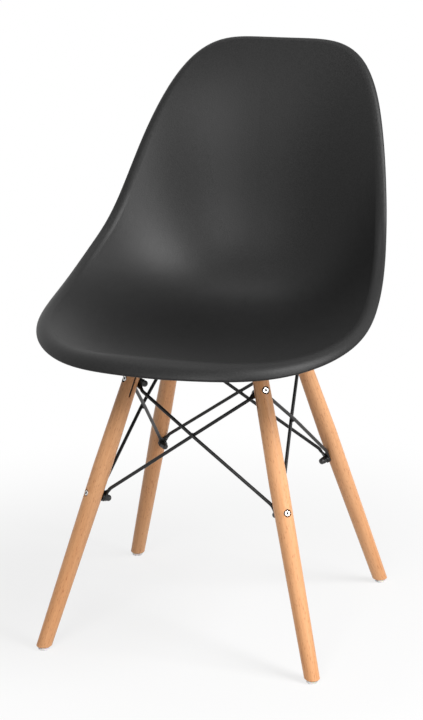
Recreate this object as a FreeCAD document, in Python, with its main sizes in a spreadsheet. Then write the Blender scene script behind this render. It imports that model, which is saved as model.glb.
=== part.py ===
import FreeCAD, Part
import math
import os
import Sketcher

# Moulded plastic shell chair on four turned beech legs with steel rod bracing.
# Millimetres, +Z up, the front of the chair faces -Y, left and right as seen from the front.
# The chair is drawn about the middle of the square that its four feet make. At the end it is
# moved as a whole, so that the origin is on the floor at the middle of its width and depth.

Vector = FreeCAD.Vector
Rotation = FreeCAD.Rotation
Placement = FreeCAD.Placement
Constraint = Sketcher.Constraint

doc = FreeCAD.newDocument("ShellChair")
sizes = doc.addObject("Spreadsheet::Sheet", "Sizes")

# Driving dimensions of the base: legs, glides and their fixings
base_sizes = {
    "foot_offset": 200,
    "leg_splay": 20.9,
    "leg_length": 427,
    "leg_foot_diameter": 21.4,
    "leg_belly_diameter": 26.8,
    "leg_belly_from_top": 152,
    "leg_top_diameter": 22.6,
    "leg_foot_chamfer": 2,
    "glide_diameter": 16,
    "glide_height": 4,
    "glide_edge": 0.8,
    "nail_diameter": 2.2,
    "nail_length": 18,
    "nail_head_diameter": 6,
    "nail_head_thickness": 1,
    "nail_head_recess": 1.4,
    "upper_bolt_from_top": 19.4,
    "bolt_spacing": 172.4,
    "bolt_diameter": 6,
    "bolt_hole_clearance": 0.2,
    "bolt_head_diameter": 9.4,
    "bolt_head_height": 3.2,
    "bolt_head_dome": 1.2,
    "counterbore_depth": 4.2,
    "counterbore_clearance": 2,
    "bolt_socket_width": 4,
    "bolt_socket_depth": 2.2,
    "bolt_end_reach": 6.5,
    "nut_width": 10,
    "nut_hex_height": 4.5,
    "nut_dome_diameter": 9.4,
    "nut_dome_flat": 1.5,
    "nut_height": 11,
    "nut_end_gap": 0.5,
}

# Driving dimensions of the rod bracing
brace_sizes = {
    "rod_diameter": 5,
    "eyelet_diameter": 13,
    "eyelet_thickness": 2.4,
    "eyelet_hole_clearance": 0.3,
    "eyelet_seat_gap": 0.15,
    "tab_width": 8.6,
    "tab_flat_length": 8,
    "tab_taper_length": 6,
    "tab_bend_distance": 18,
    "rod_bend_radius": 8,
    "rod_cross_bend_radius": 120,
    "rod_cross_gap": 0.1,
    "weld_radius": 3.7,
}

# Driving dimensions of the steel arms under the seat and the shell's fixings
arm_sizes = {
    "arm_width": 20,
    "arm_thickness": 2.5,
    "arm_above_leg": 5.1,
    "arm_bend_radius": 4,
    "arm_tongue_gap": 2,
    "arm_joggle_reach": 15,
    "arm_joggle_run": 8,
    "slot_clearance": 0.2,
    "slot_below_bolt": 23,
    "boss_from_bend": 40.9,
    "shell_screw_diameter": 5,
    "shell_screw_length": 20,
    "shell_screw_head_diameter": 9.5,
    "shell_screw_head_height": 3.2,
    "shell_screw_socket_width": 3,
    "shell_screw_socket_depth": 1.8,
    "shell_screw_hole_clearance": 1.5,
    "washer_diameter": 14,
    "washer_thickness": 1.2,
    "spacer_diameter": 22,
    "spacer_height": 10,
    "spacer_edge": 1.2,
    "insert_diameter": 8.6,
    "insert_length": 8,
    "insert_flange_diameter": 11,
    "insert_flange_thickness": 1,
    "boss_face_diameter": 24,
    "boss_root_diameter": 30,
}

# Driving dimensions of the shell. Its centre line and side walls are set at seven stations from
# the front edge over the seat and up the back: how far back the centre line lies and how high
# above the faces of the bosses, how wide the shell is to each side, and how far the side edge
# rises above the centre line.
station_names = ("front", "thigh", "hip", "crease", "lumbar", "shoulder", "head")
shell_sizes = {
    "front_depth": -237.7, "front_height": 43.05, "front_half_width": 199.4, "front_rise": -3.2,
    "thigh_depth": -163.3, "thigh_height": 30.25, "thigh_half_width": 242.9, "thigh_rise": 27,
    "hip_depth": -17.1, "hip_height": 11.85, "hip_half_width": 221.6, "hip_rise": 45.7,
    "crease_depth": 158.4, "crease_height": 13.45, "crease_half_width": 206.6, "crease_rise": 114,
    "lumbar_depth": 243.3, "lumbar_height": 133.35, "lumbar_half_width": 189.8, "lumbar_rise": 70.1,
    "shoulder_depth": 272.1, "shoulder_height": 299.45, "shoulder_half_width": 175.7, "shoulder_rise": 33.9,
    "head_depth": 326.5, "head_height": 394.75, "head_half_width": 174.5, "head_rise": 6,
    "wall": 5,
    "back_lean": 68.2,
    "front_dish_power": 2.56,
    "back_dish_power": 2.3,
    "front_corner_power": 3.63,
    "back_corner_power": 4.69,
    "side_lip_radius": 14,
    "side_lip_turn": 75,
    "front_lip_radius": 34,
    "front_lip_turn": 70,
    "back_lip_radius": 9,
    "back_lip_turn": 55,
    "front_lip_power": 4,
    "back_lip_power": 2,
}

# What follows from them: bolts and belly are placed from the top of the leg, the arms lie above
# the leg tops, and the bosses of the shell stand on their spacers a set way in from the arms' bends
derived_sizes = {
    "upper_bolt_distance": "=leg_length - upper_bolt_from_top",
    "lower_bolt_distance": "=upper_bolt_distance - bolt_spacing",
    "leg_belly_distance": "=leg_length - leg_belly_from_top",
    "counterbore_diameter": "=bolt_head_diameter + counterbore_clearance",
    "arm_height": "=leg_length * cos(leg_splay) + arm_above_leg",
    "arm_bend_reach": "=foot_offset * sqrt(2) - arm_height * tan(leg_splay)",
    "boss_reach": "=arm_bend_reach - boss_from_bend",
    "boss_level": "=arm_height + arm_thickness / 2 + spacer_height",
}

all_sizes = {**base_sizes, **brace_sizes, **arm_sizes, **shell_sizes, **derived_sizes}
for row, (name, value) in enumerate(all_sizes.items(), start=1):
    sizes.set(f"A{row}", name)
    sizes.set(f"B{row}", str(value))
    sizes.setAlias(f"B{row}", name)
doc.recompute()

sub_parts = []


def size(name):
    return float(sizes.get(name))


# Sketch and feature helpers

def new_body(label):
    body = doc.addObject("PartDesign::Body", label)
    body.Label = label
    sub_parts.append(body)
    return body


def add_sketch(body, name, plane, offset="0"):
    sketch = body.newObject("Sketcher::SketchObject", name)
    origin_plane = next(item for item in body.Origin.OriginFeatures if item.Role == plane)
    sketch.AttachmentSupport = [(origin_plane, "")]
    sketch.MapMode = "FlatFace"
    if offset != "0":
        sketch.setExpression(".AttachmentOffset.Base.z", offset)
    doc.recompute()
    return sketch


def draw_outline(sketch, corners):
    # Straight edges through the corners, each corner held by a formula of the sheet's sizes
    places = [Vector(float(sketch.evalExpression(across)), float(sketch.evalExpression(along)), 0)
              for across, along in corners]
    count = len(places)
    for index in range(count):
        sketch.addGeometry(Part.LineSegment(places[index], places[(index + 1) % count]))
    for index in range(count):
        sketch.addConstraint(Constraint("Coincident", index, 2, (index + 1) % count, 1))
    for index, (formulas, place) in enumerate(zip(corners, places)):
        for direction, formula, value in zip(("DistanceX", "DistanceY"), formulas, place):
            number = sketch.addConstraint(Constraint(direction, -1, 1, index, 1, value))
            if formula != "0":
                sketch.setExpression(f"Constraints[{number}]", formula)


def draw_circle(sketch, across, along, diameter):
    place = Vector(float(sketch.evalExpression(across)), float(sketch.evalExpression(along)), 0)
    radius = float(sketch.evalExpression(diameter)) / 2
    circle = sketch.addGeometry(Part.Circle(place, Vector(0, 0, 1), radius))
    for direction, formula, value in zip(("DistanceX", "DistanceY"), (across, along), place):
        number = sketch.addConstraint(Constraint(direction, -1, 1, circle, 3, value))
        if formula != "0":
            sketch.setExpression(f"Constraints[{number}]", formula)
    number = sketch.addConstraint(Constraint("Diameter", circle, 2 * radius))
    sketch.setExpression(f"Constraints[{number}]", diameter)


def draw_hexagon(sketch, width):
    # Six-sided outline about the sketch's origin, given its width across the flats
    corner = f"({width}) / sqrt(3)"
    draw_outline(sketch, [(f"{corner} * cos({60 * side})", f"{corner} * sin({60 * side})")
                          for side in range(6)])


def revolve(body, name, corners):
    # Turned form about the body's Z axis from its half outline
    sketch = add_sketch(body, name + "_outline", "XZ_Plane")
    draw_outline(sketch, corners)
    feature = body.newObject("PartDesign::Revolution", name)
    feature.Profile = sketch
    feature.ReferenceAxis = (sketch, ["V_Axis"])
    feature.Angle = 360
    doc.recompute()


def cut(body, name, sketch, depth=None, reverse=False, both_ways=False):
    # Pocket that must take material away
    before = body.Shape.Volume
    feature = body.newObject("PartDesign::Pocket", name)
    feature.Profile = sketch
    if depth is None:
        feature.Type = "ThroughAll"
    else:
        feature.setExpression("Length", depth)
    if both_ways:
        feature.SideType = "Symmetric"
    feature.Reversed = reverse
    doc.recompute()
    if body.Shape.Volume > before - 1e-3:
        raise RuntimeError(f"{body.Label}: {name} cuts nothing")


def round_edges(body, kind, name, size_formula, wanted):
    # Fillet or chamfer on the edges of the body's last feature that the test picks
    base = body.Tip
    edges = [f"Edge{number}" for number, edge in enumerate(base.Shape.Edges, start=1) if wanted(edge)]
    feature = body.newObject("PartDesign::" + kind, name)
    feature.Base = (base, edges)
    feature.setExpression("Radius" if kind == "Fillet" else "Size", size_formula)
    doc.recompute()


def add_shape(label, shape):
    feature = doc.addObject("Part::Feature", label)
    feature.Label = label
    feature.Shape = shape
    sub_parts.append(feature)


# The four corners of the base, counter-clockwise from above, and the leg's own frame:
# its Z runs up the leg's axis from the floor, and its X points outwards across the leg

corners = {"front_left": 225, "front_right": 315, "back_right": 45, "back_left": 135}
corner_names = list(corners)


def leg_frame(corner):
    heading = Rotation(Vector(0, 0, 1), corners[corner])
    foot = heading.multVec(Vector(size("foot_offset") * math.sqrt(2), 0, 0))
    return Placement(foot, heading * Rotation(Vector(0, 1, 0), -size("leg_splay")))


def bolt_frame(corner, distance):
    # Origin on the leg's axis, Z out of the leg along the bolt towards its head
    across = Placement(Vector(0, 0, size(distance)), Rotation(Vector(0, 1, 0), 90))
    return leg_frame(corner) * across


def leg_radius(distance):
    # Formula of the leg's radius at a bolt, on the straight taper above or below the belly
    belly = "Sizes.leg_belly_distance"
    end, end_diameter = {
        "lower_bolt_distance": ("0", "Sizes.leg_foot_diameter"),
        "upper_bolt_distance": ("Sizes.leg_length", "Sizes.leg_top_diameter"),
    }[distance]
    share = f"(Sizes.{distance} - {end}) / ({belly} - {end})"
    return f"(({end_diameter} + ({share}) * (Sizes.leg_belly_diameter - {end_diameter})) / 2)"


def head_seat(distance):
    return f"({leg_radius(distance)} - Sizes.counterbore_depth)"


def formula_value(formula):
    return float(sizes.evalExpression(formula.replace("Sizes.", "")))


# Turned leg: tapered both ways from its belly, cut level at the foot, slotted at the top for the
# steel tongue, and drilled across for its two bolts

def make_leg(corner):
    body = new_body("leg_" + corner)
    below = "Sizes.leg_foot_diameter"
    taper = "(Sizes.leg_belly_diameter - Sizes.leg_foot_diameter) / Sizes.leg_belly_distance"
    revolve(body, "Dowel", [
        ("0", f"-{below}"),
        (f"(Sizes.leg_foot_diameter - {below} * {taper}) / 2", f"-{below}"),
        ("Sizes.leg_belly_diameter / 2", "Sizes.leg_belly_distance"),
        ("Sizes.leg_top_diameter / 2", "Sizes.leg_length"),
        ("0", "Sizes.leg_length"),
    ])
    foot = add_sketch(body, "FootLevel", "XZ_Plane")
    reach = "Sizes.leg_foot_diameter"
    level = "Sizes.glide_height / cos(Sizes.leg_splay)"
    slope = f"{reach} * tan(Sizes.leg_splay)"
    draw_outline(foot, [
        (f"-{reach}", f"{level} + {slope}"),
        (reach, f"{level} - {slope}"),
        (reach, f"-2 * {reach}"),
        (f"-{reach}", f"-2 * {reach}"),
    ])
    cut(body, "FootCut", foot, both_ways=True)
    axis_length = size("leg_belly_distance") / 2
    round_edges(body, "Chamfer", "FootChamfer", "Sizes.leg_foot_chamfer",
                lambda edge: edge.BoundBox.ZMax < axis_length and edge.BoundBox.ZMax > 0
                and edge.isClosed())
    slot = add_sketch(body, "SlotOutline", "XZ_Plane")
    half_slot = "(Sizes.arm_thickness + Sizes.slot_clearance) / 2"
    slot_end = "Sizes.upper_bolt_distance - Sizes.slot_below_bolt"
    draw_outline(slot, [
        (f"-{half_slot}", slot_end),
        (half_slot, slot_end),
        (half_slot, "Sizes.leg_length + 1"),
        (f"-{half_slot}", "Sizes.leg_length + 1"),
    ])
    cut(body, "Slot", slot, both_ways=True)
    for name in ("lower", "upper"):
        height = f"Sizes.{name}_bolt_distance"
        hole = add_sketch(body, f"{name.title()}Hole", "YZ_Plane")
        draw_circle(hole, "0", height, "Sizes.bolt_diameter + Sizes.bolt_hole_clearance")
        cut(body, f"{name.title()}BoltHole", hole, both_ways=True)
        bore = add_sketch(body, f"{name.title()}Bore", "YZ_Plane", head_seat(f"{name}_bolt_distance"))
        draw_circle(bore, "0", height, "Sizes.counterbore_diameter")
        cut(body, f"{name.title()}Counterbore", bore, reverse=True)
    nail = add_sketch(body, "NailHole", "XY_Plane")
    nail.AttachmentOffset = leg_frame(corner).inverse() * nail_frame(corner)
    draw_circle(nail, "0", "0", "Sizes.nail_diameter")
    cut(body, "NailHoleCut", nail, "Sizes.nail_length", reverse=True)
    body.Placement = leg_frame(corner)


def nail_frame(corner):
    # Middle of the glide under the leg, at the underside of the nail's head
    foot = leg_frame(corner).Base
    inwards = Vector(-foot.x, -foot.y, 0).normalize()
    axis_shift = size("glide_height") * math.tan(math.radians(size("leg_splay")))
    head_level = size("nail_head_recess") + size("nail_head_thickness")
    return Placement(foot + inwards * axis_shift + Vector(0, 0, head_level), Rotation())


# Nylon glide: a turned disc with a bevelled rim and a recess for its nail's head

def make_glide(corner):
    body = new_body("glide_" + corner)
    hole = "Sizes.nail_diameter / 2"
    head = "Sizes.nail_head_diameter / 2"
    step = "Sizes.nail_head_recess + Sizes.nail_head_thickness"
    revolve(body, "Disc", [
        (head, "0"),
        ("Sizes.glide_diameter / 2", "0"),
        ("Sizes.glide_diameter / 2", "Sizes.glide_height"),
        (hole, "Sizes.glide_height"),
        (hole, step),
        (head, step),
    ])
    rim = size("glide_diameter") / 2
    round_edges(body, "Chamfer", "RimEdge", "Sizes.glide_edge",
                lambda edge: edge.BoundBox.ZMax < 1e-3 and edge.BoundBox.XMax > rim - 1e-3)
    place = nail_frame(corner).Base
    body.Placement = Placement(Vector(place.x, place.y, 0), Rotation())


# Wire nail that holds the glide: flat head in the glide, shank up into the leg

def make_nail(corner):
    body = new_body("glide_nail_" + corner)
    revolve(body, "Nail", [
        ("0", "-Sizes.nail_head_thickness"),
        ("Sizes.nail_head_diameter / 2", "-Sizes.nail_head_thickness"),
        ("Sizes.nail_head_diameter / 2", "0"),
        ("Sizes.nail_diameter / 2", "0"),
        ("Sizes.nail_diameter / 2", "Sizes.nail_length - Sizes.nail_diameter"),
        ("0", "Sizes.nail_length"),
    ])
    body.Placement = nail_frame(corner)


# Leg bolt: domed head with a hexagon socket, its plain shank through leg, tongue and eyelets

stack = "2 * Sizes.eyelet_thickness + Sizes.eyelet_seat_gap"


def make_bolt(corner, level):
    distance = f"{level}_bolt_distance"
    body = new_body(f"{level}_bolt_{corner}")
    end = f"-({leg_radius(distance)} + {stack} + Sizes.bolt_end_reach)"
    shank = "Sizes.bolt_diameter / 2"
    head = "Sizes.bolt_head_diameter / 2"
    seat = head_seat(distance)
    revolve(body, "Bolt", [
        ("0", end),
        (shank, end),
        (shank, seat),
        (head, seat),
        (head, f"{seat} + Sizes.bolt_head_height - Sizes.bolt_head_dome"),
        (f"{head} - Sizes.bolt_head_dome", f"{seat} + Sizes.bolt_head_height"),
        ("0", f"{seat} + Sizes.bolt_head_height"),
    ])
    socket = add_sketch(body, "SocketOutline", "XY_Plane", f"{seat} + Sizes.bolt_head_height")
    draw_hexagon(socket, "Sizes.bolt_socket_width")
    cut(body, "Socket", socket, "Sizes.bolt_socket_depth")
    body.Placement = bolt_frame(corner, distance)


# Domed cap nut: hexagon against the eyelets, round dome over the bolt's end

def make_nut(corner, level):
    distance = f"{level}_bolt_distance"
    body = new_body(f"{level}_cap_nut_{corner}")
    seat = f"-({leg_radius(distance)} + {stack})"
    hexagon = add_sketch(body, "HexOutline", "XY_Plane", seat)
    draw_hexagon(hexagon, "Sizes.nut_width")
    pad = body.newObject("PartDesign::Pad", "Hexagon")
    pad.Profile = hexagon
    pad.setExpression("Length", "Sizes.nut_hex_height")
    pad.Reversed = True
    doc.recompute()
    dome = add_sketch(body, "DomeOutline", "XY_Plane", f"{seat} - Sizes.nut_hex_height")
    draw_circle(dome, "0", "0", "Sizes.nut_dome_diameter")
    cap = body.newObject("PartDesign::Pad", "Dome")
    cap.Profile = dome
    cap.setExpression("Length", "Sizes.nut_height - Sizes.nut_hex_height")
    cap.Reversed = True
    doc.recompute()
    top = formula_value(seat) - size("nut_height")
    round_edges(body, "Fillet", "DomeRound", "(Sizes.nut_dome_diameter - Sizes.nut_dome_flat) / 2",
                lambda edge: abs(edge.BoundBox.ZMin - top) < 1e-3 and edge.BoundBox.ZLength < 1e-3)
    bore = add_sketch(body, "ThreadOutline", "XY_Plane", seat)
    draw_circle(bore, "0", "0", "Sizes.bolt_diameter")
    cut(body, "Thread", bore, "Sizes.bolt_end_reach + Sizes.nut_end_gap")
    body.Placement = bolt_frame(corner, distance)


# Bracing rod: bent steel wire with a flattened eyelet at each end. Its upper end is on one leg's
# upper bolt and its lower end on the next leg's lower bolt, so the two rods between a pair of
# legs cross and are welded there. Layer 0 lies on the leg and layer 1 on top of it.

def eyelet_place(corner, distance, layer):
    frame = bolt_frame(corner, distance)
    inwards = frame.Rotation.multVec(Vector(0, 0, -1))
    height = formula_value(leg_radius(distance)) + size("eyelet_seat_gap")
    height += (layer + 0.5) * size("eyelet_thickness")
    return frame.Base + inwards * height, inwards


def flatten(vector, normal):
    # Part of the vector that lies across the normal, as a unit vector
    return (vector - normal * vector.dot(normal)).normalize()


def bent_wire(points, radii):
    # Straight runs joined by tangent arcs
    edges = []
    start = points[0]
    for before, corner, after, radius in zip(points, points[1:], points[2:], radii):
        arriving = (corner - before).normalize()
        leaving = (after - corner).normalize()
        turn = arriving.getAngle(leaving)
        tangent = radius * math.tan(turn / 2)
        arc_start = corner - arriving * tangent
        arc_end = corner + leaving * tangent
        towards_centre = (leaving - arriving).normalize()
        middle = corner + towards_centre * (radius / math.cos(turn / 2) - radius)
        edges.append(Part.makeLine(start, arc_start))
        edges.append(Part.Arc(arc_start, middle, arc_end).toShape())
        start = arc_end
    edges.append(Part.makeLine(start, points[-1]))
    return Part.Wire(edges)


def eyelet_end(centre, inwards, along):
    # Flat eyelet with its tab, and the taper from the tab to the round rod
    thickness = size("eyelet_thickness")
    width = size("tab_width")
    flat = size("tab_flat_length")
    base = centre - inwards * (thickness / 2)
    disc = Part.makeCylinder(size("eyelet_diameter") / 2, thickness, base, inwards)
    sideways = inwards.cross(along)
    outline = [base + sideways * (side * width / 2) + along * reach
               for side, reach in ((-1, 0), (1, 0), (1, flat), (-1, flat))]
    tab = Part.Face(Part.makePolygon(outline + outline[:1])).extrude(inwards * thickness)
    tab_end = [base + along * flat + sideways * (side * width / 2) + inwards * (level * thickness)
               for side, level in ((-1, 0), (1, 0), (1, 1), (-1, 1))]
    rod_start = rod_entry(centre, inwards, along)
    round_end = Part.Wire(Part.Circle(rod_start, along, size("rod_diameter") / 2).toShape())
    taper = Part.makeLoft([Part.makePolygon(tab_end + tab_end[:1]), round_end], True, True)
    return disc.fuse([tab, taper])


def rod_entry(centre, inwards, along):
    # Middle of the round rod where the taper ends: its outer side is level with the tab's
    lift = (size("rod_diameter") - size("eyelet_thickness")) / 2
    reach = size("tab_flat_length") + size("tab_taper_length")
    return centre + inwards * lift + along * reach


def rod_ends(upper_corner, lower_corner, layer):
    upper, upper_in = eyelet_place(upper_corner, "upper_bolt_distance", layer)
    lower, lower_in = eyelet_place(lower_corner, "lower_bolt_distance", layer)
    upper_along = flatten(lower - upper, upper_in)
    lower_along = flatten(upper - lower, lower_in)
    return upper, upper_in, upper_along, lower, lower_in, lower_along


def crossing_place(upper_corner, lower_corner, layer):
    # Where the rod passes its partner: the middle of the crossing, the level direction out of
    # the pair and the rod's own shift to its side. The middle lies half way between the layers.
    upper, upper_in, upper_along, lower, lower_in, lower_along = rod_ends(
        upper_corner, lower_corner, 0.5)
    bend = size("tab_bend_distance")
    upper_bend = upper + upper_along * bend
    run = lower + lower_along * bend - upper_bend
    outwards = (corner_heading(upper_corner) + corner_heading(lower_corner)).normalize()
    across = Vector(-outwards.y, outwards.x, 0)
    middle = upper_bend - run * (upper_bend.dot(across) / run.dot(across))
    partner_run = run - across * (2 * run.dot(across))
    normal = run.cross(partner_run).normalize()
    if normal.dot(outwards) < 0:
        normal = -normal
    half_gap = (size("rod_diameter") + size("rod_cross_gap")) / 2
    return middle, normal, half_gap * (1 if layer == 0 else -1)


def corner_heading(corner):
    return Rotation(Vector(0, 0, 1), corners[corner]).multVec(Vector(1, 0, 0))


def make_rod(upper_corner, lower_corner, layer):
    upper, upper_in, upper_along, lower, lower_in, lower_along = rod_ends(
        upper_corner, lower_corner, layer)
    middle, normal, shift = crossing_place(upper_corner, lower_corner, layer)
    bend = size("tab_bend_distance")
    taper_end = size("tab_flat_length") + size("tab_taper_length")
    start = rod_entry(upper, upper_in, upper_along)
    finish = rod_entry(lower, lower_in, lower_along)
    points = [start, start + upper_along * (bend - taper_end), middle + normal * shift,
              finish + lower_along * (bend - taper_end), finish]
    radii = [size("rod_bend_radius"), size("rod_cross_bend_radius"), size("rod_bend_radius")]
    path = bent_wire(points, radii)
    section = Part.Wire(Part.Circle(start, upper_along, size("rod_diameter") / 2).toShape())
    rod = path.makePipeShell([section], True, False)
    shape = rod.fuse([eyelet_end(upper, upper_in, upper_along),
                      eyelet_end(lower, lower_in, lower_along)])
    hole_radius = (size("bolt_diameter") + size("eyelet_hole_clearance")) / 2
    thickness = size("eyelet_thickness")
    for centre, inwards in ((upper, upper_in), (lower, lower_in)):
        shape = shape.cut(Part.makeCylinder(hole_radius, 3 * thickness,
                                            centre - inwards * (1.5 * thickness), inwards))
    return shape.removeSplitter()


def make_brace_pair(side, first, second):
    outer = make_rod(first, second, 0)
    inner = make_rod(second, first, 1)
    middle, normal, _ = crossing_place(first, second, 0)
    weld = Part.makeSphere(size("weld_radius"), middle)
    outer = outer.fuse(weld).cut(inner).removeSplitter()
    first_side = first.split("_")[1] if side in ("front", "back") else first.split("_")[0]
    second_side = second.split("_")[1] if side in ("front", "back") else second.split("_")[0]
    add_shape(f"brace_{side}_from_{first_side}", outer)
    add_shape(f"brace_{side}_from_{second_side}", inner)


# Steel arms under the seat: two flat bars that cross, each bent down at both ends into tongues
# that stand in the slots of two opposite legs. The upper bar steps over the lower one.

def make_arm(label, heading, steps_over):
    body = new_body(label)
    half = "Sizes.arm_thickness / 2"
    level = "Sizes.arm_height"
    splay = "Sizes.leg_splay"
    foot = "Sizes.foot_offset * sqrt(2)"
    bend_reach = "Sizes.arm_bend_reach"
    miter = f"({half} * tan((90 - {splay}) / 2))"
    end_distance = "(Sizes.upper_bolt_distance - Sizes.slot_below_bolt + Sizes.arm_tongue_gap)"
    end_reach = f"({foot} - {end_distance} * sin({splay}))"
    end_level = f"({end_distance} * cos({splay}))"
    raised = f"{level} + Sizes.arm_thickness"
    near = "Sizes.arm_joggle_reach"
    far = f"({near} + Sizes.arm_joggle_run)"
    right_top = [
        (f"{bend_reach} + {miter}", f"{level} + {half}"),
        (f"{end_reach} + {half} * cos({splay})", f"{end_level} + {half} * sin({splay})"),
        (f"{end_reach} - {half} * cos({splay})", f"{end_level} - {half} * sin({splay})"),
        (f"{bend_reach} - {miter}", f"{level} - {half}"),
    ]
    over_top = [(near, f"{raised} + {half}"), (far, f"{level} + {half}")] if steps_over else []
    over_under = [(far, f"{level} - {half}"), (near, f"{raised} - {half}")] if steps_over else []
    right = over_top + right_top + over_under
    left = [(f"-({across})", along) for across, along in reversed(right)]
    outline = add_sketch(body, "SideOutline", "XZ_Plane")
    draw_outline(outline, right + left)
    pad = body.newObject("PartDesign::Pad", "Bar")
    pad.Profile = outline
    pad.setExpression("Length", "Sizes.arm_width")
    pad.SideType = "Symmetric"
    doc.recompute()
    inner_edge = formula_value(bend_reach) - formula_value(miter)
    inner_level = size("arm_height") - size("arm_thickness") / 2
    outer_edge = formula_value(bend_reach) + formula_value(miter)
    outer_level = size("arm_height") + size("arm_thickness") / 2

    def is_bend(edge, reach, height):
        box = edge.BoundBox
        return (abs(abs(box.XMin) - reach) < 1e-3 and abs(box.ZMin - height) < 1e-3
                and box.XLength < 1e-3 and box.ZLength < 1e-3)

    round_edges(body, "Fillet", "BendInside", "Sizes.arm_bend_radius",
                lambda edge: is_bend(edge, inner_edge, inner_level))
    round_edges(body, "Fillet", "BendOutside", "Sizes.arm_bend_radius + Sizes.arm_thickness",
                lambda edge: is_bend(edge, outer_edge, outer_level))
    holes = add_sketch(body, "ScrewHoles", "XY_Plane", level)
    for side in ("", "-"):
        draw_circle(holes, f"{side}Sizes.boss_reach", "0",
                    "Sizes.shell_screw_diameter + Sizes.shell_screw_hole_clearance")
    cut(body, "ScrewHolesThrough", holes, both_ways=True)
    reach = formula_value(f"({foot} - Sizes.upper_bolt_distance * sin({splay}))")
    height = formula_value(f"(Sizes.upper_bolt_distance * cos({splay}))")
    for side, sign in (("Right", 1), ("Left", -1)):
        hole = add_sketch(body, f"{side}TongueHole", "YZ_Plane")
        hole.AttachmentOffset = Placement(Vector(0, height, sign * reach),
                                          Rotation(Vector(1, 0, 0), -sign * size("leg_splay")))
        draw_circle(hole, "0", "0", "Sizes.bolt_diameter + Sizes.bolt_hole_clearance")
        cut(body, f"{side}TongueBolt", hole, "Sizes.leg_top_diameter", both_ways=True)
    body.Placement = Placement(Vector(), Rotation(Vector(0, 0, 1), heading))


# Fixings of the shell, one set under each boss: screw, washer, rubber spacer and brass insert

boss_level = "Sizes.boss_level"


def boss_place(corner):
    return corner_heading(corner) * size("boss_reach")


def make_spacer(corner):
    body = new_body("spacer_" + corner)
    hole = "(Sizes.shell_screw_diameter + Sizes.shell_screw_hole_clearance) / 2"
    rim = "Sizes.spacer_diameter / 2"
    low = "Sizes.arm_height + Sizes.arm_thickness / 2"
    revolve(body, "Spacer", [(hole, low), (rim, low), (rim, boss_level), (hole, boss_level)])
    outer = size("spacer_diameter") / 2
    round_edges(body, "Chamfer", "SpacerEdge", "Sizes.spacer_edge",
                lambda edge: edge.isClosed() and edge.BoundBox.XMax > outer - 1e-3
                and edge.BoundBox.ZLength < 1e-3)
    body.Placement = Placement(boss_place(corner), Rotation())


def make_washer(corner):
    body = new_body("washer_" + corner)
    hole = "(Sizes.shell_screw_diameter + Sizes.bolt_hole_clearance) / 2"
    rim = "Sizes.washer_diameter / 2"
    top = "Sizes.arm_height - Sizes.arm_thickness / 2"
    low = f"{top} - Sizes.washer_thickness"
    revolve(body, "Washer", [(hole, low), (rim, low), (rim, top), (hole, top)])
    body.Placement = Placement(boss_place(corner), Rotation())


def make_shell_screw(corner):
    body = new_body("shell_screw_" + corner)
    seat = "Sizes.arm_height - Sizes.arm_thickness / 2 - Sizes.washer_thickness"
    head = "Sizes.shell_screw_head_diameter / 2"
    shank = "Sizes.shell_screw_diameter / 2"
    bottom = f"{seat} - Sizes.shell_screw_head_height"
    top = f"{seat} + Sizes.shell_screw_length"
    revolve(body, "Screw", [
        ("0", bottom),
        (f"{head} - Sizes.shell_screw_head_height / 3", bottom),
        (head, f"{bottom} + Sizes.shell_screw_head_height / 2"),
        (head, seat),
        (shank, seat),
        (shank, top),
        ("0", top),
    ])
    socket = add_sketch(body, "SocketOutline", "XY_Plane", bottom)
    draw_hexagon(socket, "Sizes.shell_screw_socket_width")
    cut(body, "Socket", socket, "Sizes.shell_screw_socket_depth", reverse=True)
    body.Placement = Placement(boss_place(corner), Rotation())


def make_insert(corner):
    body = new_body("insert_" + corner)
    hole = "Sizes.shell_screw_diameter / 2"
    rim = "Sizes.insert_diameter / 2"
    flange = "Sizes.insert_flange_diameter / 2"
    revolve(body, "Insert", [
        (hole, boss_level),
        (flange, boss_level),
        (flange, f"{boss_level} + Sizes.insert_flange_thickness"),
        (rim, f"{boss_level} + Sizes.insert_flange_thickness"),
        (rim, f"{boss_level} + Sizes.insert_length"),
        (hole, f"{boss_level} + Sizes.insert_length"),
    ])
    body.Placement = Placement(boss_place(corner), Rotation())


# Moulded shell: one smooth skin wrapped over the seat, round the rolled rim and back underneath.
# A place on the shell is found from how far it lies from the middle to the rim, 0 to 1, and from
# its turn round the shell, which is -90 degrees at the front, 0 at the right and 90 at the top.

def station_curve(*quantities):
    curve = Part.BSplineCurve()
    curve.buildFromPoles([Vector(*[size(f"{station}_{quantity}") for quantity in quantities])
                          for station in station_names])
    return curve


centre_line = station_curve("half_width", "depth", "height")
side_rise = station_curve("rise", "half_width", "half_width")


def seat_point(along, across):
    # Point of the upper skin: along runs 0 to 1 from front edge to top, across -1 to 1
    centre = centre_line.value(along)
    blend = along * along * (3 - 2 * along)
    lean = math.radians(size_of["back_lean"]) * blend
    power = size_of["front_dish_power"] + (
        size_of["back_dish_power"] - size_of["front_dish_power"]) * along
    rise = side_rise.value(along).x * abs(across) ** power
    return Vector(centre.x * across, centre.y - math.sin(lean) * rise,
                  size_of["boss_level"] + centre.z + math.cos(lean) * rise)


def shell_point(reach, turn):
    forwards = math.sin(turn)
    sideways = math.cos(turn)
    power = size_of["front_corner_power"] if forwards < 0 else size_of["back_corner_power"]
    rim = (abs(forwards) ** power + abs(sideways) ** power) ** (-1 / power)
    along = 0.5 + 0.5 * reach * rim * forwards
    return seat_point(min(max(along, 0), 1), reach * rim * sideways)


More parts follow.
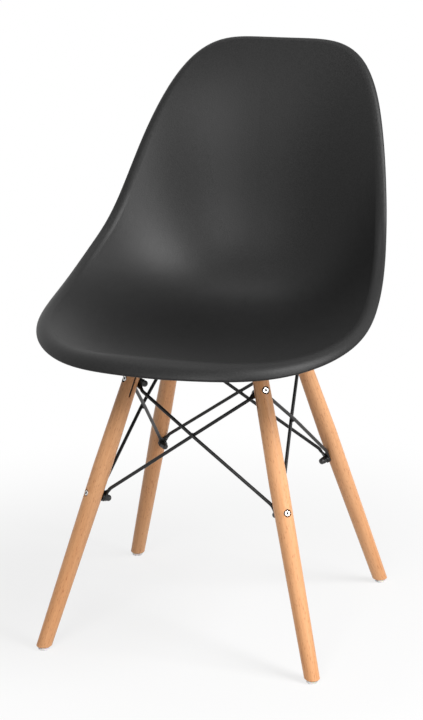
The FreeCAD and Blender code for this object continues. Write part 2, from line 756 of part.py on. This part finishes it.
def skin_frame(reach, turn):
    # Place on the upper skin, the direction out of the seat's upper side, and the way outwards
    step = 1e-3
    place = shell_point(reach, turn)
    inner = shell_point(reach - step, turn)
    onwards = shell_point(reach, turn + step) - shell_point(reach, turn - step)
    upwards = (place - inner).cross(onwards).normalize()
    outwards = onwards.cross(upwards).normalize()
    return place, upwards, outwards


def rim_blend(turn, front, side, back):
    # Value that goes smoothly from the sides to the front and to the back of the rim
    towards_back = math.sin(turn)
    front_share = max(-towards_back, 0) ** size_of["front_lip_power"]
    back_share = max(towards_back, 0) ** size_of["back_lip_power"]
    return side + (front - side) * front_share + (back - side) * back_share


# How finely the skin is set out: sections round the shell, and steps along each section over the
# seat and round the rolled lip
shell_columns = 48
seat_steps = 12
lip_rows = 4


def shell_column(turn, reaches):
    # Points of one section from the middle of the seat over the rim to the middle underneath
    wall = size_of["wall"]
    radius = rim_blend(turn, size_of["front_lip_radius"], size_of["side_lip_radius"],
                       size_of["back_lip_radius"])
    lip_turn = math.radians(rim_blend(turn, size_of["front_lip_turn"], size_of["side_lip_turn"],
                                      size_of["back_lip_turn"]))
    place, upwards, outwards = skin_frame(1, turn)
    lip_centre = place - upwards * radius

    def lip_point(angle, distance):
        return lip_centre + (upwards * math.cos(angle) + outwards * math.sin(angle)) * distance

    frames = [skin_frame(reach, turn) for reach in reaches]
    upper = [frame[0] for frame in frames]
    under = [frame[0] - frame[1] * wall for frame in frames]
    lip_over = [lip_point(lip_turn * row / lip_rows, radius) for row in range(1, lip_rows + 1)]
    lip_under = [lip_point(lip_turn * row / lip_rows, radius - wall)
                 for row in range(lip_rows, 0, -1)]
    nose_centre = lip_point(lip_turn, radius - wall / 2)
    nose_out = upwards * math.cos(lip_turn) + outwards * math.sin(lip_turn)
    nose_on = outwards * math.cos(lip_turn) - upwards * math.sin(lip_turn)
    nose = [nose_centre + (nose_out * math.cos(angle) + nose_on * math.sin(angle)) * (wall / 2)
            for angle in (math.pi / 4, math.pi / 2, 3 * math.pi / 4)]
    return upper + lip_over + nose + lip_under + under[::-1]


def smooth_poles(before, point, after):
    # Pole of an evenly spaced cubic spline that passes close to the point
    return point - (before - point * 2 + after) / 6


def make_shell_skin():
    columns = shell_columns
    steps = [1 / 3] + list(range(1, seat_steps + 1))
    reaches = [math.sin(math.pi / 2 * step / seat_steps) for step in steps]
    turns = [2 * math.pi * column / columns - math.pi / 2 for column in range(columns)]
    grid = [shell_column(turn, reaches) for turn in turns]
    rows = len(grid[0])
    _, upwards, _ = skin_frame(1e-2, 0)
    middle_over = seat_point(0.5, 0)
    middle_under = middle_over - upwards * size_of["wall"]
    poles = [[middle_over] * columns]
    for row in range(rows):
        if row in (0, rows - 1):
            # The first ring round the middle lies flat, so that the skin has no dimple there
            middle = middle_over if row == 0 else middle_under
            ring = [column[row] - upwards * (column[row] - middle).dot(upwards) for column in grid]
        else:
            ring = [smooth_poles(column[row - 1], column[row], column[row + 1]) for column in grid]
        poles.append([smooth_poles(ring[index - 1], ring[index], ring[(index + 1) % columns])
                      for index in range(columns)])
    poles.append([middle_under] * columns)
    spans = len(poles) - 3
    surface = Part.BSplineSurface()
    surface.buildFromPolesMultsKnots(
        poles, [4] + [1] * (spans - 1) + [4], [1] * (columns + 1),
        [float(knot) for knot in range(spans + 1)], [float(knot) for knot in range(columns + 1)],
        False, True, 3, 3)
    faces = []
    for first_row, last_row in ((0, seat_steps), (seat_steps, spans - seat_steps),
                                (spans - seat_steps, spans)):
        for first_column in (0, columns // 2):
            patch = surface.copy()
            patch.segment(first_row, last_row, first_column, first_column + columns // 2)
            faces.append(patch.toShape())
    skin = Part.makeShell(faces)
    skin.sewShape()
    return Part.Solid(skin)


def skin_height(x, y):
    # Height of the upper skin's middle above a place on the seat, by halving the station range
    low, high = 0, 0.5
    for _ in range(40):
        along = (low + high) / 2
        across = x / centre_line.value(along).x
        if seat_point(along, across).y < y:
            low = along
        else:
            high = along
    return seat_point(along, across).z


def make_shell():
    shape = make_shell_skin()
    face_level = size("boss_level")
    for corner in corner_names:
        place = boss_place(corner)
        top = skin_height(abs(place.x), place.y) - size("wall") / 2
        boss = Part.makeCone(size("boss_face_diameter") / 2, size("boss_root_diameter") / 2,
                             top - face_level, place + Vector(0, 0, face_level))
        shape = shape.fuse(boss)
    for corner in corner_names:
        place = boss_place(corner) + Vector(0, 0, face_level)
        shape = shape.cut(Part.makeCylinder(size("insert_diameter") / 2, size("insert_length"),
                                            place))
        shape = shape.cut(Part.makeCylinder(size("insert_flange_diameter") / 2,
                                            size("insert_flange_thickness"), place))
    add_shape("seat_shell", shape)


size_of = {name: size(name) for name in [*shell_sizes, "boss_level"]}

make_shell()
for corner in corner_names:
    make_leg(corner)
    make_glide(corner)
    make_nail(corner)
    for level in ("lower", "upper"):
        make_bolt(corner, level)
        make_nut(corner, level)
    make_spacer(corner)
    make_washer(corner)
    make_shell_screw(corner)
    make_insert(corner)
make_arm("lower_seat_arm", corners["back_right"], False)
make_arm("upper_seat_arm", corners["front_right"], True)
for side, first, second in (("front", "front_left", "front_right"),
                            ("right", "front_right", "back_right"),
                            ("back", "back_right", "back_left"),
                            ("left", "back_left", "front_left")):
    make_brace_pair(side, first, second)

# The base stands nearer to the front of the shell than to its back, so the middle of the whole
# depth is the shell's, rounded to a tenth of a millimetre
shell_box = sub_parts[0].Shape.BoundBox
to_middle = Placement(Vector(0, -round((shell_box.YMin + shell_box.YMax) / 2, 1), 0), Rotation())
for item in sub_parts:
    item.Placement = to_middle * item.Placement
doc.recompute()

for item in doc.Objects:
    if "Invalid" in item.State or "Error" in item.State:
        raise RuntimeError(f"{item.Label} failed: {item.State}")
for item in sub_parts:
    if item.Shape.isNull() or not item.Shape.isValid():
        raise RuntimeError(f"{item.Label} has no valid shape")

os.makedirs("parts", exist_ok=True)
for item in sub_parts:
    item.Shape.exportStep(f"parts/{item.Label}.step")
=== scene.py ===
import bpy
import bmesh
import math
from mathutils import Matrix, Vector


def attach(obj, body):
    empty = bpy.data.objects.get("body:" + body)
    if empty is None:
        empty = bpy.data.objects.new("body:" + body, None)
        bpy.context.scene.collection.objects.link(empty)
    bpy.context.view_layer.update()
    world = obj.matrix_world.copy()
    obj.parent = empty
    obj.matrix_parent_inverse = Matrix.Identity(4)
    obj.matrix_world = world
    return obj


# A moulded plastic shell chair on four turned beech legs braced with crossed steel rods.
# Metres. The front of the chair faces -Y, and left and right are as seen from the front.

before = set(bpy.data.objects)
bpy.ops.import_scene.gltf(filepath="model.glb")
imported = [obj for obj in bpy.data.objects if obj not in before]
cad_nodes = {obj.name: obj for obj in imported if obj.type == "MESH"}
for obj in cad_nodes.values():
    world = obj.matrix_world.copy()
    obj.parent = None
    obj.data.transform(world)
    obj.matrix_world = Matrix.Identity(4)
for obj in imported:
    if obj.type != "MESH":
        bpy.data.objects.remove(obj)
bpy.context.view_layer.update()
scene = bpy.context.scene


# The shell is one injection moulding of charcoal polypropylene, satin, with the fine even grain
# that the mould leaves. Seat, back and rolled rim are one skin, and the four bosses underneath
# carry the fixings.

def new_finish(name):
    material = bpy.data.materials.new(name)
    material.use_nodes = True
    return material, material.node_tree, material.node_tree.nodes["Principled BSDF"]


def place_on_chair(tree, origin=(0, 0, 0), turn=(0, 0, 0), stretch=(1, 1, 1)):
    # Place in metres, measured from the origin along axes with that turn, and then stretched
    chair = tree.nodes.new("ShaderNodeTexCoord").outputs["Object"]
    measured = tree.nodes.new("ShaderNodeMapping")
    measured.vector_type = "TEXTURE"
    measured.inputs["Location"].default_value = origin
    measured.inputs["Rotation"].default_value = turn
    tree.links.new(chair, measured.inputs["Vector"])
    stretched = tree.nodes.new("ShaderNodeMapping")
    stretched.inputs["Scale"].default_value = stretch
    tree.links.new(measured.outputs["Vector"], stretched.inputs["Vector"])
    return stretched.outputs["Vector"]


def mottle(tree, place, scale, detail=2.0, roughness=0.5):
    # Uneven value between 0 and 1 that changes from place to place
    texture = tree.nodes.new("ShaderNodeTexNoise")
    texture.inputs["Scale"].default_value = scale
    texture.inputs["Detail"].default_value = detail
    texture.inputs["Roughness"].default_value = roughness
    tree.links.new(place, texture.inputs["Vector"])
    return texture.outputs["Fac"]


def grey(level):
    return level, level, level


def tint(tree, value, low_color, high_color, low=0.3, high=0.7):
    # Colour that goes from one to the other while the value goes from low to high. A mottled
    # value seldom leaves the range from 0.3 to 0.7.
    node = tree.nodes.new("ShaderNodeValToRGB")
    node.color_ramp.elements[0].position = low
    node.color_ramp.elements[0].color = (*low_color, 1)
    node.color_ramp.elements[1].position = high
    node.color_ramp.elements[1].color = (*high_color, 1)
    tree.links.new(value, node.inputs["Fac"])
    return node.outputs["Color"]


def spread(tree, value, low, high):
    # The value's range from 0 to 1 put between low and high
    node = tree.nodes.new("ShaderNodeMapRange")
    node.inputs["To Min"].default_value = low
    node.inputs["To Max"].default_value = high
    tree.links.new(value, node.inputs["Value"])
    return node.outputs["Result"]


def darken(tree, color, stain, share=1.0):
    # The colour multiplied by the stain, which is white where it leaves the colour as it is
    node = tree.nodes.new("ShaderNodeMix")
    node.data_type = "RGBA"
    node.blend_type = "MULTIPLY"
    node.inputs["Factor"].default_value = share
    tree.links.new(color, node.inputs["A"])
    tree.links.new(stain, node.inputs["B"])
    return node.outputs["Result"]


def emboss(tree, shader, height, depth, strength=1.0):
    node = tree.nodes.new("ShaderNodeBump")
    node.inputs["Distance"].default_value = depth
    node.inputs["Strength"].default_value = strength
    tree.links.new(height, node.inputs["Height"])
    tree.links.new(node.outputs["Normal"], shader.inputs["Normal"])


def put_on(names, material):
    for name in names:
        for slot in cad_nodes[name].material_slots:
            slot.material = material


def charcoal_plastic():
    material, tree, shader = new_finish("charcoal_plastic")
    place = place_on_chair(tree)
    grain = mottle(tree, place, scale=520, detail=3.0, roughness=0.6)
    clouds = mottle(tree, place, scale=7)
    pits = grey(0.001)
    charcoal = grey(0.009)
    speckle = tint(tree, grain, pits, charcoal, low=0.36, high=0.68)
    unevenness = tint(tree, clouds, grey(0.94), grey(1))
    tree.links.new(darken(tree, speckle, unevenness), shader.inputs["Base Color"])
    tree.links.new(spread(tree, grain, low=0.34, high=0.58), shader.inputs["Roughness"])
    shader.inputs["IOR"].default_value = 1.49
    shader.inputs["Specular IOR Level"].default_value = 0.26
    emboss(tree, shader, grain, depth=0.0003, strength=0.6)
    return material


put_on(["seat_shell"], charcoal_plastic())


# Each boss of the shell has a threaded brass insert. A zinc plated machine screw with a washer
# comes up into it through the steel arms, and a rubber spacer between arm and boss takes up the
# play and keeps the seat from creaking.

corners = {"front_left": (-1, -1), "front_right": (1, -1),
           "back_right": (1, 1), "back_left": (-1, 1)}


def each(label):
    return [f"{label}_{corner}" for corner in corners]


def plain_metal(name, color, roughness):
    material, tree, shader = new_finish(name)
    place = place_on_chair(tree)
    wear = mottle(tree, place, scale=300, detail=4.0, roughness=0.6)
    worn_color = tuple(channel * 0.8 for channel in color)
    plate = tint(tree, wear, worn_color, color)
    # Painted shade, taken from ambient occlusion, darkens the sockets and where a head meets the
    # wood
    nooks = tree.nodes.new("ShaderNodeAmbientOcclusion")
    nooks.inputs["Distance"].default_value = 0.004
    recess_shade = tint(tree, nooks.outputs["AO"], grey(0.03), grey(1), low=0.45, high=0.95)
    tree.links.new(darken(tree, plate, recess_shade), shader.inputs["Base Color"])
    tree.links.new(spread(tree, wear, low=roughness - 0.08, high=roughness + 0.1),
                   shader.inputs["Roughness"])
    shader.inputs["Metallic"].default_value = 1.0
    emboss(tree, shader, mottle(tree, place, scale=2500), depth=0.00001)
    return material


def black_rubber():
    material, tree, shader = new_finish("black_rubber")
    place = place_on_chair(tree)
    bloom = mottle(tree, place, scale=160, detail=4.0)
    black = (0.016, 0.016, 0.017)
    bloomed = (0.032, 0.032, 0.033)
    tree.links.new(tint(tree, bloom, black, bloomed, high=0.75), shader.inputs["Base Color"])
    tree.links.new(spread(tree, bloom, low=0.7, high=0.9), shader.inputs["Roughness"])
    emboss(tree, shader, mottle(tree, place, scale=1800), depth=0.00003)
    return material


zinc_plate = plain_metal("zinc_plate", color=(0.72, 0.72, 0.71), roughness=0.28)
insert_brass = plain_metal("insert_brass", color=(0.70, 0.53, 0.27), roughness=0.35)
put_on(each("insert"), insert_brass)
put_on(each("spacer"), black_rubber())
put_on(each("shell_screw") + each("washer"), zinc_plate)


# Two arms of flat steel bar cross under the seat, the upper one stepped over the lower one. Their
# ends are bent down as tongues into the slots of the legs, and they are powder coated black.

def black_powder_coat():
    material, tree, shader = new_finish("black_powder_coat")
    place = place_on_chair(tree)
    orange_peel = mottle(tree, place, scale=900, detail=3.0, roughness=0.55)
    dimples = grey(0.005)
    black = grey(0.011)
    tree.links.new(tint(tree, orange_peel, dimples, black), shader.inputs["Base Color"])
    tree.links.new(spread(tree, orange_peel, low=0.36, high=0.5), shader.inputs["Roughness"])
    shader.inputs["Specular IOR Level"].default_value = 0.35
    emboss(tree, shader, orange_peel, depth=0.00006, strength=0.6)
    return material


steel_coat = black_powder_coat()
put_on(["lower_seat_arm", "upper_seat_arm"], steel_coat)


# Eight rods of 5 mm steel wire brace the legs, two crossed between each pair of neighbours. Their
# ends are pressed flat to eyelets, which the bolts of the legs go through, and they have the same
# powder coat as the arms.

put_on([name for name in cad_nodes if name.startswith("brace_")], steel_coat)


# The legs are turned from solid beech and lacquered matt. The grain runs along each leg and has
# the short dark flecks of beech, so each leg has its own material that follows its axis.

foot_offset = 0.2
base_ahead = -0.0312
leg_splay = math.radians(20.9)


def leg_axis(corner):
    side, depth = corners[corner]
    foot = Vector((side * foot_offset, depth * foot_offset + base_ahead, 0))
    inwards = Vector((-side, -depth, 0)).normalized()
    return foot, inwards * math.sin(leg_splay) + Vector((0, 0, 1)) * math.cos(leg_splay)


def beech(corner):
    material, tree, shader = new_finish("beech_" + corner)
    foot, axis = leg_axis(corner)
    turn = axis.to_track_quat("Z", "Y").to_euler()

    def figure(across, along, detail=2.0, roughness=0.5):
        # Uneven value that changes so many times in a metre across the grain and along it
        place = place_on_chair(tree, foot, turn, stretch=(across, across, along))
        return mottle(tree, place, scale=1, detail=detail, roughness=roughness)

    broad = figure(across=30, along=3.2)
    streaks = figure(across=420, along=14, detail=4.0, roughness=0.6)
    flecks = figure(across=800, along=150)
    red_wood = (0.68, 0.325, 0.138)
    pale_wood = (0.82, 0.455, 0.235)
    streak_stain = (0.86, 0.80, 0.74)
    fleck_stain = (0.70, 0.56, 0.46)
    wood = tint(tree, broad, red_wood, pale_wood, high=0.72)
    lines = tint(tree, streaks, streak_stain, grey(1))
    marks = tint(tree, flecks, grey(1), fleck_stain, low=0.58)
    grained = darken(tree, wood, lines)
    tree.links.new(darken(tree, grained, marks, share=0.85), shader.inputs["Base Color"])
    tree.links.new(spread(tree, streaks, low=0.36, high=0.5), shader.inputs["Roughness"])
    shader.inputs["IOR"].default_value = 1.46
    emboss(tree, shader, streaks, depth=0.00012, strength=0.5)
    return material


for corner in corners:
    put_on(["leg_" + corner], beech(corner))


# Two bolts with domed heads and hexagon sockets go through each leg, the upper one through the
# arm's tongue as well. They are steel, zinc plated, and their heads sit in counterbores.

put_on(each("lower_bolt") + each("upper_bolt"), zinc_plate)


# A domed cap nut closes each bolt on the inner side of the leg and clamps the eyelets of two
# rods to the wood. The nuts are steel with a black satin finish.

def black_nut():
    material, tree, shader = new_finish("black_nut")
    place = place_on_chair(tree)
    marks = mottle(tree, place, scale=500, detail=3.0)
    black = (0.012, 0.012, 0.013)
    rubbed = (0.022, 0.022, 0.023)
    tree.links.new(tint(tree, marks, black, rubbed), shader.inputs["Base Color"])
    tree.links.new(spread(tree, marks, low=0.3, high=0.42), shader.inputs["Roughness"])
    emboss(tree, shader, marks, depth=0.00002)
    return material


put_on(each("lower_cap_nut") + each("upper_cap_nut"), black_nut())


# A black nylon collar is pressed into the counterbore round the head of each upper bolt. It is a
# short turned ring with its edges just broken, a little below the wood.

leg_length = 0.427
upper_bolt_from_top = 0.0194
collar_radius = 0.00565
collar_wall = 0.0009
collar_height = 0.0024
collar_edge = 0.0002
collar_from_leg_axis = 0.0074


def black_nylon():
    material, tree, shader = new_finish("black_nylon")
    place = place_on_chair(tree)
    scuff = mottle(tree, place, scale=900, detail=3.0)
    black = grey(0.008)
    scuffed = grey(0.016)
    tree.links.new(tint(tree, scuff, black, scuffed), shader.inputs["Base Color"])
    tree.links.new(spread(tree, scuff, low=0.5, high=0.7), shader.inputs["Roughness"])
    emboss(tree, shader, scuff, depth=0.00002)
    return material


def make_collar(corner, material):
    builder = bmesh.new()
    bmesh.ops.create_circle(builder, cap_ends=True, segments=64, radius=collar_radius)
    middle = builder.faces[:]
    bmesh.ops.inset_region(builder, faces=middle, thickness=collar_wall, use_boundary=True)
    bmesh.ops.delete(builder, geom=middle, context="FACES")
    bmesh.ops.solidify(builder, geom=builder.faces[:], thickness=-collar_height)
    square_edges = [edge for edge in builder.edges
                    if edge.calc_face_angle(0) > math.radians(60)]
    bmesh.ops.bevel(builder, geom=square_edges, offset=collar_edge, segments=2, profile=0.5,
                    affect="EDGES", material=-1)
    bmesh.ops.recalc_face_normals(builder, faces=builder.faces[:])
    foot, axis = leg_axis(corner)
    bolt = axis.cross(Vector((0, 0, 1))).cross(axis).normalized()
    bolt_crossing = foot + axis * (leg_length - upper_bolt_from_top)
    turn = bolt.to_track_quat("Z", "Y").to_matrix().to_4x4()
    builder.transform(Matrix.Translation(bolt_crossing + bolt * collar_from_leg_axis) @ turn)
    mesh = bpy.data.meshes.new("bolt_collar_" + corner)
    builder.to_mesh(mesh)
    builder.free()
    mesh.materials.append(material)
    collar = bpy.data.objects.new("bolt_collar_" + corner, mesh)
    scene.collection.objects.link(collar)
    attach(collar, "root")


collar_nylon = black_nylon()
for corner in corners:
    make_collar(corner, collar_nylon)


# A glide of white nylon sits under each foot, level with the floor. It is a turned disc with a
# bevelled rim, held by a steel wire nail whose head is sunk in it.

def white_nylon():
    material, tree, shader = new_finish("white_nylon")
    place = place_on_chair(tree)
    scuff = mottle(tree, place, scale=240, detail=4.0)
    scuffed = (0.82, 0.82, 0.81)
    white = grey(0.9)
    tree.links.new(tint(tree, scuff, scuffed, white, high=0.75), shader.inputs["Base Color"])
    tree.links.new(spread(tree, scuff, low=0.35, high=0.5), shader.inputs["Roughness"])
    shader.inputs["Subsurface Weight"].default_value = 0.15
    shader.inputs["Subsurface Scale"].default_value = 0.002
    emboss(tree, shader, scuff, depth=0.00003)
    return material


put_on(each("glide"), white_nylon())
put_on(each("glide_nail"), plain_metal("nail_steel", color=grey(0.5), roughness=0.4))


# The stage is a wide round floor, matt and pale grey. It keeps the chair's shadow near the feet
# and turns white away from it, like the paper of a photo studio.

floor_radius = 14
shadow_fades_from = 0.3
shadow_gone_at = 0.9
white_share_under_chair = 0.78


def combine(tree, operation, first, second):
    node = tree.nodes.new("ShaderNodeMath")
    node.operation = operation
    tree.links.new(first, node.inputs[0])
    tree.links.new(second, node.inputs[1])
    return node.outputs["Value"]


def seen_along(tree, rays):
    # 1 for a surface that is seen along one of these rays, and 0 where it only throws back light
    path = tree.nodes.new("ShaderNodeLightPath")
    seen = path.outputs[rays[0]]
    for ray in rays[1:]:
        seen = combine(tree, "MAXIMUM", seen, path.outputs[ray])
    return seen


def pale_floor():
    material, tree, shader = new_finish("pale_floor")
    shader.inputs["Base Color"].default_value = (*grey(0.7), 1)
    shader.inputs["Roughness"].default_value = 0.9
    shader.inputs["Specular IOR Level"].default_value = 0.0
    from_middle = tree.nodes.new("ShaderNodeVectorMath")
    from_middle.operation = "LENGTH"
    tree.links.new(place_on_chair(tree), from_middle.inputs[0])
    fade = tree.nodes.new("ShaderNodeMapRange")
    fade.interpolation_type = "SMOOTHSTEP"
    fade.inputs["From Min"].default_value = shadow_fades_from
    fade.inputs["From Max"].default_value = shadow_gone_at
    fade.inputs["To Min"].default_value = white_share_under_chair
    tree.links.new(from_middle.outputs["Value"], fade.inputs["Value"])
    seen = seen_along(tree, ["Is Camera Ray", "Is Glossy Ray"])
    white_share = combine(tree, "MULTIPLY", seen, fade.outputs["Result"])
    white = tree.nodes.new("ShaderNodeEmission")
    blend = tree.nodes.new("ShaderNodeMixShader")
    tree.links.new(white_share, blend.inputs["Fac"])
    tree.links.new(shader.outputs["BSDF"], blend.inputs[1])
    tree.links.new(white.outputs["Emission"], blend.inputs[2])
    tree.links.new(blend.outputs["Shader"], tree.nodes["Material Output"].inputs["Surface"])
    return material


def make_floor():
    mesh = bpy.data.meshes.new("floor")
    builder = bmesh.new()
    bmesh.ops.create_circle(builder, cap_ends=True, segments=96, radius=floor_radius)
    builder.to_mesh(mesh)
    builder.free()
    mesh.materials.append(pale_floor())
    floor = bpy.data.objects.new("floor", mesh)
    scene.collection.objects.link(floor)


make_floor()


# The light is that of a white studio. The key soft box hangs high on the right, with smaller ones
# at the side, in front and above, and the walls are seen as white but give little light.

wall_light = 0.13


def make_studio():
    world = bpy.data.worlds.new("studio")
    world.use_nodes = True
    tree = world.node_tree
    seen = seen_along(tree, ["Is Camera Ray", "Is Glossy Ray", "Is Transmission Ray"])
    background = tree.nodes["Background"]
    background.inputs["Color"].default_value = (*grey(1), 1)
    tree.links.new(spread(tree, seen, low=wall_light, high=1.0), background.inputs["Strength"])
    scene.world = world


def soft_box(name, place, aim_height, side, power):
    light = bpy.data.lights.new(name, "AREA")
    light.shape = "SQUARE"
    light.size = side
    light.energy = power
    box = bpy.data.objects.new(name, light)
    box.location = place
    backwards = Vector(place) - Vector((0, 0, aim_height))
    box.rotation_euler = backwards.to_track_quat("Z", "Y").to_euler()
    scene.collection.objects.link(box)


make_studio()
soft_box("key", place=(1.9, -0.3, 2.7), aim_height=0.4, side=1.3, power=90)
soft_box("side", place=(2.7, -1.15, 1.4), aim_height=0.3, side=0.7, power=28)
soft_box("front", place=(0.1, -2.3, 2.2), aim_height=0.4, side=1.0, power=36)
soft_box("top", place=(-0.6, 0.3, 3.0), aim_height=0.4, side=0.8, power=7)


# The camera stands where the photograph was taken: about 3 m away, a little to the right of the
# chair's front, 1.2 m above the floor and looking down at the chair.

camera_place = (0.92435, -2.91532, 1.23909)
camera_turn = math.radians(17.92)
camera_tilt = math.radians(15.63)
camera_roll = math.radians(-0.36)
focal_pixels = 2183.45
photo_height = 720


def make_camera():
    lens = bpy.data.cameras.new("photo_view")
    lens.sensor_fit = "VERTICAL"
    lens.sensor_height = 36
    lens.lens = focal_pixels * lens.sensor_height / photo_height
    camera = bpy.data.objects.new("photo_view", lens)
    level = Matrix.Rotation(camera_turn, 4, "Z") @ Matrix.Rotation(math.pi / 2, 4, "X")
    tilted = level @ Matrix.Rotation(-camera_tilt, 4, "X") @ Matrix.Rotation(camera_roll, 4, "Z")
    camera.matrix_world = Matrix.Translation(camera_place) @ tilted
    scene.collection.objects.link(camera)
    scene.camera = camera


make_camera()
scene.view_settings.view_transform = "Standard"
